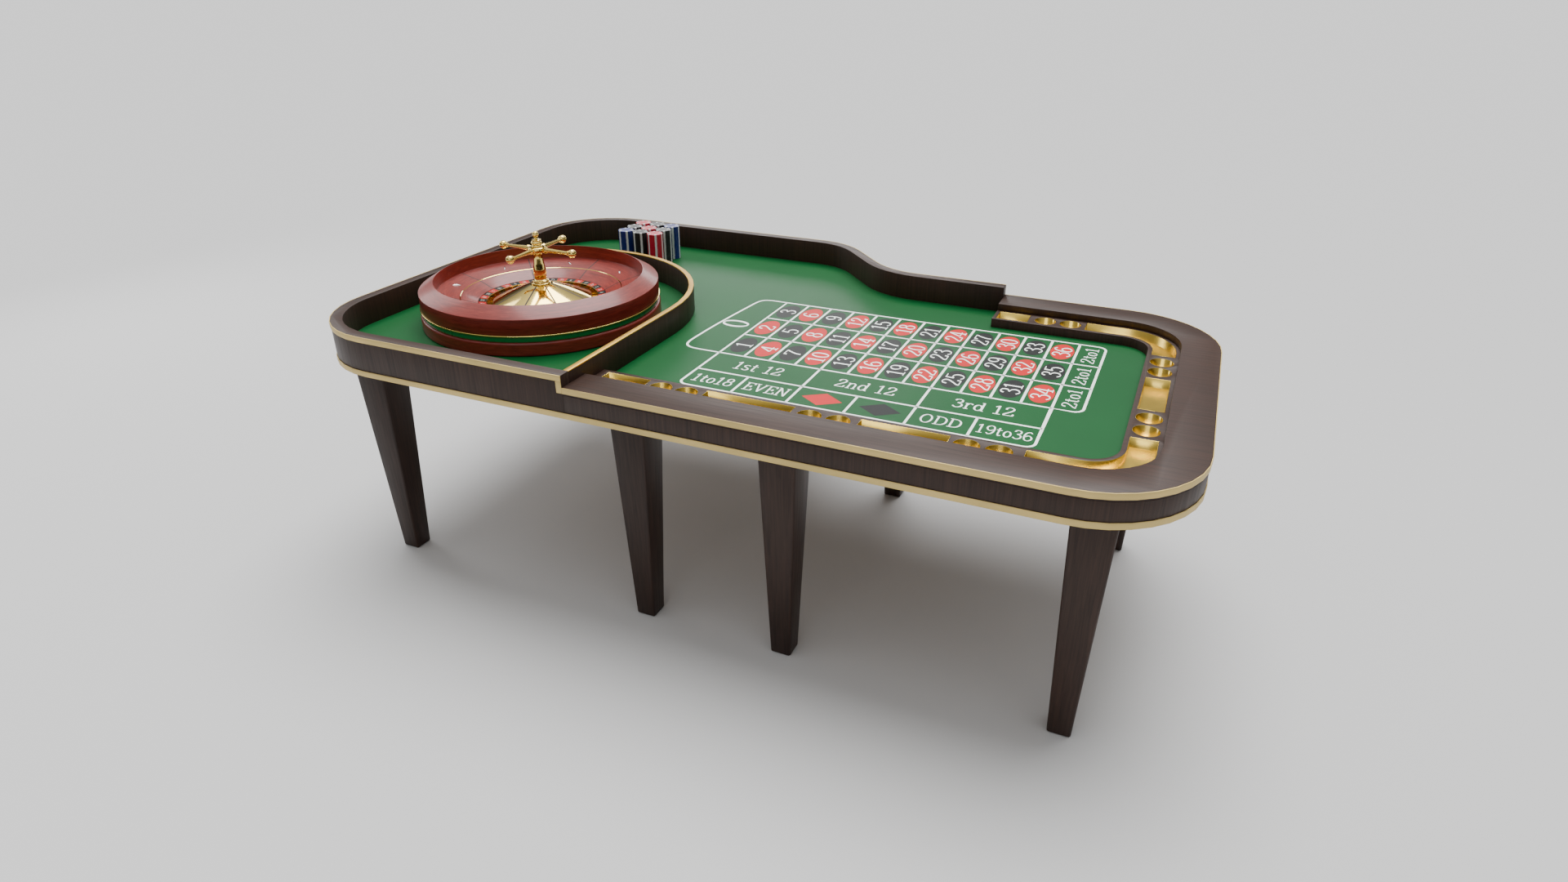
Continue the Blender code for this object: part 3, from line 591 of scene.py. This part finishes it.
def make_layout():
    """Everything printed in white, red or black on the cloth."""
    z = FELT_TOP + PRINT_LIFT
    half = steady(LINE / 2)
    lines = bmesh.new()
    ribbon(lines, zero_outline(), half, z)
    outline = rounded_path(
        [(GRID_X, GRID_TOP), (COLUMN_END, GRID_TOP), (COLUMN_END, GRID_Y), (GRID_END, GRID_Y),
         (GRID_END, OUTSIDE_Y), (GRID_X, OUTSIDE_Y)],
        [0, 0.028, 0.028, 0, 0.028, 0.028],
    )
    ribbon(lines, outline, half, z, closed=True)
    for i in range(1, 12):
        x = GRID_X + i * CELL
        bottom = DOZEN_Y if i % 4 == 0 else GRID_Y
        bottom = OUTSIDE_Y if i in (4, 8) else bottom
        ribbon(lines, [(x, bottom), (x, GRID_TOP)], half, z)
    ribbon(lines, [(GRID_END, GRID_Y), (GRID_END, GRID_TOP)], half, z)
    for i in (2, 6, 10):
        x = GRID_X + i * CELL
        ribbon(lines, [(x, OUTSIDE_Y), (x, DOZEN_Y)], half, z)
    for y in (GRID_TOP - ROW, GRID_TOP - 2 * ROW):
        ribbon(lines, [(GRID_X, y), (COLUMN_END, y)], half, z)
    for y in (GRID_Y, DOZEN_Y):
        ribbon(lines, [(GRID_X, y), (GRID_END, y)], half, z)
    add_object("layout_lines", lines, WHITE_INK, "table")

    spots = {"red": bmesh.new(), "black": bmesh.new()}
    letters = bmesh.new()
    for number in range(1, 37):
        column, row = divmod(number - 1, 3)
        centre = (GRID_X + (column + 0.5) * CELL, GRID_Y + (row + 0.5) * ROW)
        spot = spots["black" if number % 2 else "red"]
        edge = [spot.verts.new((centre[0] + SPOT_RADII[0] * cos(a), centre[1] + SPOT_RADII[1] * sin(a), z))
                for a in (2 * pi * k / 40 for k in range(40))]
        spot.faces.new(edge)
        write(letters, str(number), centre, 0.058, 1.26, pi / 2, z + INK_LIFT)
    diamond_y = (DOZEN_Y + OUTSIDE_Y) / 2
    wide, tall = DIAMOND_REACH
    for colour, column in (("red", 5), ("black", 7)):
        x = GRID_X + column * CELL
        corners = ((x + wide, diamond_y), (x, diamond_y + tall), (x - wide, diamond_y), (x, diamond_y - tall))
        spots[colour].faces.new([spots[colour].verts.new((*corner, z)) for corner in corners])
    add_object("layout_red_spots", spots["red"], RED_INK, "table")
    add_object("layout_black_spots", spots["black"], BLACK_INK, "table")

    write(letters, "0", (-0.1735, -0.0137), 0.098, 1.20, pi / 2, z)
    for i, words in enumerate(("1st 12", "2nd 12", "3rd 12")):
        write(letters, words, (GRID_X + (4 * i + 2) * CELL, (GRID_Y + DOZEN_Y) / 2), 0.060, 0.94, 0, z)
    for i, words, stretch in ((0, "1to18", 0.92), (1, "EVEN", 0.94), (4, "ODD", 0.96), (5, "19to36", 0.82)):
        write(letters, words, (GRID_X + (2 * i + 1) * CELL, diamond_y), 0.056, stretch, 0, z)
    for row in range(3):
        centre = ((GRID_END + COLUMN_END) / 2, GRID_Y + (row + 0.5) * ROW)
        write(letters, "2to1", centre, 0.043, 1.50, pi / 2, z)
    add_object("layout_letters", letters, WHITE_INK, "table")


# ---------------------------------------------------------------- wheel


def strip_on_cone(bm, angle, inner, outer, width, lift):
    """A thin raised strip lying down the slope between two (radius, height) points."""
    across = Vector((-sin(angle), cos(angle), 0)) * width / 2
    ends = [Vector((r * cos(angle), r * sin(angle), z)) for r, z in (inner, outer)]
    up = Vector((0, 0, lift))
    top = [bm.verts.new(p) for p in (ends[0] - across + up, ends[1] - across + up, ends[1] + across + up,
                                     ends[0] + across + up)]
    down = [bm.verts.new(v.co - up * 3) for v in top]
    bm.faces.new(top)
    bm.faces.new(reversed(down))
    for i in range(4):
        j = (i + 1) % 4
        bm.faces.new((top[j], top[i], down[i], down[j]))


def track_height(radius):
    """Height of the ball track above the cloth at this radius."""
    low, high = (TRACK_STEP, TRACK_OUTER) if radius > TRACK_STEP[0] else (TRACK_INNER, TRACK_STEP)
    return low[1] + (radius - low[0]) * (high[1] - low[1]) / (high[0] - low[0])


def make_wheel():
    base = [
        (0.262, 0.0004), (0.4065, 0.0004), (0.410, 0.004), (0.410, 0.0405), (0.4065, 0.0452), (0.262, 0.0452),
    ]
    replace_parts(turned("fine_wheel_base", eased(base, 0.002), MAHOGANY, "wheel", "mahogany"), "wheel_base")
    band = [(0.300, 0.0457), (0.402, 0.0457), (0.4035, 0.0550), (0.402, 0.0640), (0.300, 0.0640)]
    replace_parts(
        turned("fine_green_band", eased(band, 0.001), GREEN_BAND, "wheel", "green_enamel"),
        "wheel_green_band",
    )
    ring = [(0.300, 0.0643), (0.4085, 0.0643), (0.4095, 0.0667), (0.4085, 0.0690), (0.300, 0.0690)]
    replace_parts(turned("fine_brass_band", eased(ring, 0.001), GOLD, "wheel", "gold"), "wheel_brass_band")
    bowl = [
        (0.0093, 0.0122), (0.2600, 0.0122), (0.2600, 0.0695), (0.4046, 0.0695), (0.4064, 0.0712),
        (0.4064, 0.1216), (0.3560, 0.1515), (0.3536, 0.1525), (0.3531, 0.1508), TRACK_OUTER,
        TRACK_STEP, TRACK_INNER, (0.2185, 0.0302), (0.0093, 0.0302),
    ]
    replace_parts(turned("fine_wheel_bowl", eased(bowl, 0.0012), MAHOGANY, "wheel", "mahogany"), "wheel_bowl")
    seams = bmesh.new()
    inner, step, outer = ((radius, track_height(radius)) for radius in (0.2195, TRACK_STEP[0], 0.3525))
    for k in range(8):
        angle = radians(45 * k)
        strip_on_cone(seams, angle, inner, step, TRACK_SEAM, 0.00015)
        strip_on_cone(seams, angle, step, outer, TRACK_SEAM, 0.00015)
    add_object("track_seams", seams, SEAM, "wheel", (*WHEEL, FELT_TOP))
    inlay = [(0.2735, 0.0870), (0.2765, 0.0877), (0.2765, 0.0892), (0.2750, 0.0896), (0.2735, 0.0886)]
    turned("track_inlay", inlay, GOLD, "wheel", "gold")
    make_deflectors()
    paint("wheel_spindle", STEEL)
    paint("spindle_bearing", STEEL)


def make_deflectors():
    """Eight lens-shaped studs on the ball track, each turned like the one opposite it."""
    bm = bmesh.new()
    for k in range(STUDS):
        angle = radians(STUD_START + 45 * k)
        turn = angle + radians(STUD_TURNS[k % 4])
        outline = []
        for i in range(16):
            t = 2 * pi * i / 16
            width = STUD_HALF_WIDTH * sin(t) * abs(sin(t)) ** 0.6
            outline.append(Vector((STUD_HALF_LENGTH * cos(t), width, 0)))
        slope = Matrix.Rotation(-TRACK_SLOPE, 3, (-sin(angle), cos(angle), 0))
        spin = Matrix.Rotation(turn, 3, "Z")
        height = track_height(STUD_RADIUS)
        centre = Vector((STUD_RADIUS * cos(angle), STUD_RADIUS * sin(angle), height))
        edge = [bm.verts.new(slope @ spin @ p + centre - Vector((0, 0, 0.0002))) for p in outline]
        inner = [bm.verts.new(slope @ spin @ (p * 0.55 + Vector((0, 0, 0.0026))) + centre) for p in outline]
        peak = bm.verts.new(slope @ Vector((0, 0, STUD_HEIGHT)) + centre)
        for i in range(16):
            j = (i + 1) % 16
            bm.faces.new((edge[i], edge[j], inner[j], inner[i]))
            bm.faces.new((inner[i], inner[j], peak))
    bmesh.ops.remove_doubles(bm, verts=bm.verts, dist=1e-6)
    add_object("track_deflectors", bm, SILVER, "wheel", (*WHEEL, FELT_TOP), smooth=50)


def make_number_ring():
    """The ring of numbers: a coloured cell with a number for each pocket, and brass frets between."""
    bm = bmesh.new()
    count = len(NUMBERS_ROUND_WHEEL)
    steps = 4
    inner, outer = RING_INNER, RING_OUTER
    columns = []
    for i in range(count * steps):
        angle = 2 * pi * (i / steps - 0.5) / count
        corners = ((inner[0], RING_BOTTOM), (outer[0], RING_BOTTOM), outer, inner)
        columns.append([bm.verts.new((r * cos(angle), r * sin(angle), z)) for r, z in corners])
    for i, first in enumerate(columns):
        second = columns[(i + 1) % len(columns)]
        cell = i // steps
        for a in range(4):
            b = (a + 1) % 4
            face = bm.faces.new((first[a], first[b], second[b], second[a]))
            face.material_index = 2 if cell == 0 else cell % 2
    bmesh.ops.recalc_face_normals(bm, faces=bm.faces)
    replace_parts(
        add_object(
            "fine_number_ring", bm, [BLACK_CELL, RED_CELL, GREEN_BAND], "rotor",
            (*WHEEL, FELT_TOP),
        ),
        "number_ring",
    )
    frets, digits = bmesh.new(), bmesh.new()
    tilt = atan2(outer[1] - inner[1], outer[0] - inner[0])
    for i, number in enumerate(NUMBERS_ROUND_WHEEL):
        angle = 2 * pi * i / count
        strip_on_cone(frets, angle + pi / count, (0.1922, 0.0616), (0.2162, 0.0650), FRET, 0.0006)
        start = len(digits.verts)
        write(digits, str(number), (0, 0), 0.0125, 0.92, 0)
        digits.verts.ensure_lookup_table()
        middle = (inner[0] + outer[0]) / 2 + 0.001
        height = inner[1] + (middle - inner[0]) * (outer[1] - inner[1]) / (outer[0] - inner[0]) + 0.00025
        move = (
            Matrix.Rotation(angle, 4, "Z") @ Matrix.Translation((middle, 0, height))
            @ Matrix.Rotation(-tilt, 4, "Y") @ Matrix.Rotation(-pi / 2, 4, "Z")
        )
        bmesh.ops.transform(digits, matrix=move, verts=digits.verts[start:])
    add_object("number_frets", frets, GOLD, "rotor", (*WHEEL, FELT_TOP))
    add_object("number_digits", digits, IVORY, "rotor", (*WHEEL, FELT_TOP))
    edge = [(0.1905, 0.0600), (0.1928, 0.0600), (0.1928, 0.0628), (0.1905, 0.0622)]
    turned("number_ring_edge", edge, GOLD, "rotor", "gold")


def make_rotor():
    paint("rotor_disc", MAHOGANY)
    paint("pocket_ring", GOLD)
    make_number_ring()
    cone = [(0.0093, 0.0565), (0.1700, 0.0565), (0.1700, 0.0625), (0.0400, 0.1142), (0.0093, 0.1142)]
    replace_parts(turned("fine_rotor_cone", eased(cone, 0.0014), GOLD, "rotor", "gold"), "rotor_cone")
    seams = bmesh.new()
    for k in range(8):
        strip_on_cone(seams, radians(11.5 + 45 * k), (0.0395, 0.1142), (0.1690, 0.0630), CONE_SEAM, 0.0002)
    add_object("cone_seams", seams, SEAM, "rotor", (*WHEEL, FELT_TOP))
    column = [
        (0, 0.1145), (0.0330, 0.1145), (0.0335, 0.1165), (0.0325, 0.1190), (0.0280, 0.1200),
        (0.0270, 0.1215), (0.0285, 0.1240), (0.0270, 0.1270), (0.0225, 0.1285), (0.0195, 0.1310),
        (0.0215, 0.1400), (0.0225, 0.1500), (0.0215, 0.1650), (0.0180, 0.1850), (0.0150, 0.2050),
        (0.0140, 0.2180), (0.0165, 0.2215), (0.0165, 0.2235), (0.0140, 0.2260), (0, 0.2260),
    ]
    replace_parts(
        turned("fine_turret_column", eased(column, 0.0012), GOLD, "rotor", "gold", 64), "turret_column"
    )
    make_cross()
    finial = [
        (0, 0.2446), (0.0170, 0.2446), (0.0178, 0.2465), (0.0150, 0.2495), (0.0150, 0.2520),
        (0.0185, 0.2560), (0.0185, 0.2600), (0.0150, 0.2640), (0.0150, 0.2660), (0.0165, 0.2680),
        (0.0060, 0.2715), (0.0048, 0.2740), (0.0060, 0.2765), (0.0088, 0.2800), (0.0105, 0.2845),
        (0.0100, 0.2890), (0.0070, 0.2945), (0.0035, 0.2965), (0, 0.2970),
    ]
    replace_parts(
        turned("fine_turret_finial", eased(finial, 0.0012), GOLD, "rotor", "gold", 48), "turret_finial"
    )


def make_cross():
    """The hub, four tapered arms and their end balls: turned forms, the hub upright and the rest level."""
    bm = bmesh.new()
    hub = eased(
        [(0, -0.0090), (0.0285, -0.0090), (0.0300, -0.0070), (0.0300, 0.0060), (0.0265, 0.0090), (0, 0.0090)],
        0.0015,
    )
    arm = [
        (0, 0.0120), (0.0098, 0.0120), (0.0098, 0.0330), (0.0112, 0.0350), (0.0112, 0.0375), (0.0085, 0.0400),
        (0.0066, 0.0800), (0.0056, 0.1240), (0.0078, 0.1262), (0.0078, 0.1285), (0.0060, 0.1300), (0, 0.1310),
    ]
    ball = [(0.0144 * sin(pi * k / 20), 0.1440 - 0.0144 * cos(pi * k / 20)) for k in range(21)]
    ball[0], ball[-1] = (0, 0.1296), (0, 0.1584)
    forms = [(hub, None)] + [(form, k) for k in range(4) for form in (arm, ball)]
    for profile, k in forms:
        start = len(bm.verts)
        rings = []
        for radius, height in profile:
            if radius == 0:
                rings.append([bm.verts.new((0, 0, height))] * 40)
            else:
                turns = [2 * pi * i / 40 for i in range(40)]
                rings.append([bm.verts.new((radius * cos(a), radius * sin(a), height)) for a in turns])
        for first, second in zip(rings, rings[1:]):
            for i in range(40):
                j = (i + 1) % 40
                corners = list(dict.fromkeys((first[i], first[j], second[j], second[i])))
                if len(corners) > 2:
                    bm.faces.new(corners)
        if k is not None:
            bm.verts.ensure_lookup_table()
            move = Matrix.Rotation(k * pi / 2, 4, "Z") @ Matrix.Rotation(pi / 2, 4, "Y")
            bmesh.ops.transform(bm, matrix=move, verts=bm.verts[start:])
    bmesh.ops.recalc_face_normals(bm, faces=bm.faces)
    place = (*WHEEL, FELT_TOP + CROSS_HEIGHT)
    cross = add_object("fine_turret_cross", bm, GOLD, "rotor", place, smooth=40)
    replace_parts(cross, "turret_cross")


# ---------------------------------------------------------------- chips


def make_chips():
    """Stacks of moulded chips: each chip is a disc with rounded edges, and the top one has a sunk middle."""
    rows = (("blue", "black", "red"), ("black", "red", "black"), ("red", "black", "blue"))
    number = 0
    for colours in rows:
        for colour in colours:
            number += 1
            node = "chip_stack_%d" % number
            low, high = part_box(node)
            middle = (low + high) / 2
            radius = (high.x - low.x) / 2
            count = round((high.z - low.z) / CHIP_THICKNESS)
            thick = (high.z - low.z) / count
            profile = [(0, 0)]
            for k in range(count):
                z = k * thick
                profile += [(radius - 0.0007, z + 0.00002), (radius, z + 0.0006),
                            (radius, z + thick - 0.0006), (radius - 0.0007, z + thick - 0.00002)]
            top = count * thick
            profile += [(0.0215, top), (0.0210, top - 0.0005), (0, top - 0.0005)]
            stack = turned("fine_" + node, profile, CHIPS[colour], "stack_%d" % number, "chip_" + colour, 48,
                           (middle.x, middle.y, low.z))
            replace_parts(stack, node)


# ---------------------------------------------------------------- studio


def area_light(name, place, target, size, watts, gloss_only=False):
    light = bpy.data.lights.new(name, "AREA")
    light.shape = "RECTANGLE"
    light.size, light.size_y = size
    light.energy = watts
    obj = bpy.data.objects.new(name, light)
    bpy.context.scene.collection.objects.link(obj)
    obj.location = place
    obj.rotation_euler = (Vector(target) - Vector(place)).to_track_quat("-Z", "Y").to_euler()
    obj.visible_camera = False
    obj.visible_diffuse = not gloss_only


def make_sky():
    """A soft overhead light that falls away towards the horizon."""
    world = bpy.context.scene.world or bpy.data.worlds.new("studio")
    bpy.context.scene.world = world
    world.use_nodes = True
    tree = world.node_tree
    direction = tree.nodes.new("ShaderNodeTexCoord").outputs["Generated"]
    split = tree.nodes.new("ShaderNodeSeparateXYZ")
    tree.links.new(direction, split.inputs[0])
    ramp = tree.nodes.new("ShaderNodeValToRGB")
    tree.links.new(split.outputs[2], ramp.inputs[0])
    elements = ramp.color_ramp.elements
    while len(elements) < len(SKY_STOPS):
        elements.new(0.5)
    for element, (position, value) in zip(elements, SKY_STOPS):
        element.position = position
        element.color = (value, value, value, 1.0)
    background = tree.nodes["Background"]
    tree.links.new(ramp.outputs[0], background.inputs["Color"])
    background.inputs["Strength"].default_value = SKY_STRENGTH


def make_studio():
    bm = bmesh.new()
    bmesh.ops.create_grid(bm, x_segments=1, y_segments=1, size=200)
    mesh = bpy.data.meshes.new("studio_floor")
    bm.to_mesh(mesh)
    bm.free()
    s = Shader("studio_floor")
    s.set(Base_Color=FLOOR_GREY, Roughness=1.0, Specular_IOR_Level=0.0)
    mesh.materials.append(s.material)
    floor = bpy.data.objects.new("studio_floor", mesh)
    bpy.context.scene.collection.objects.link(floor)
    make_sky()
    sun = bpy.data.lights.new("sun", "SUN")
    sun.energy = SUN_POWER
    sun.angle = radians(SUN_SPREAD)
    obj = bpy.data.objects.new("sun", sun)
    bpy.context.scene.collection.objects.link(obj)
    obj.rotation_euler = Vector(SUN_DIRECTION).to_track_quat("-Z", "Y").to_euler()
    area_light("left_panel", (-4.5, 0.5, 2.6), (-0.6, 0, 0.8), (1.2, 3.0), 45)
    area_light("near_panel", (0.8, -5.0, 3.4), (0.4, 0, 0.7), (3.0, 1.0), 30)
    area_light("back_panel", (-1.7, 4.0, 2.0), (-0.1, 0.0, 0.75), (2.8, 0.75), 38, gloss_only=True)
    camera = bpy.data.cameras.new("camera")
    camera.lens = CAMERA_LENS
    camera.sensor_width = SENSOR_WIDTH
    eye = bpy.data.objects.new("camera", camera)
    eye.location = CAMERA_PLACE
    eye.rotation_euler = (radians(CAMERA_TILT), 0, radians(CAMERA_TURN))
    bpy.context.scene.collection.objects.link(eye)
    bpy.context.scene.camera = eye


make_woodwork()
make_brasswork()
cloth, cloth_area = make_felt()
make_layout()
make_wheel()
make_rotor()
make_chips()
make_studio()
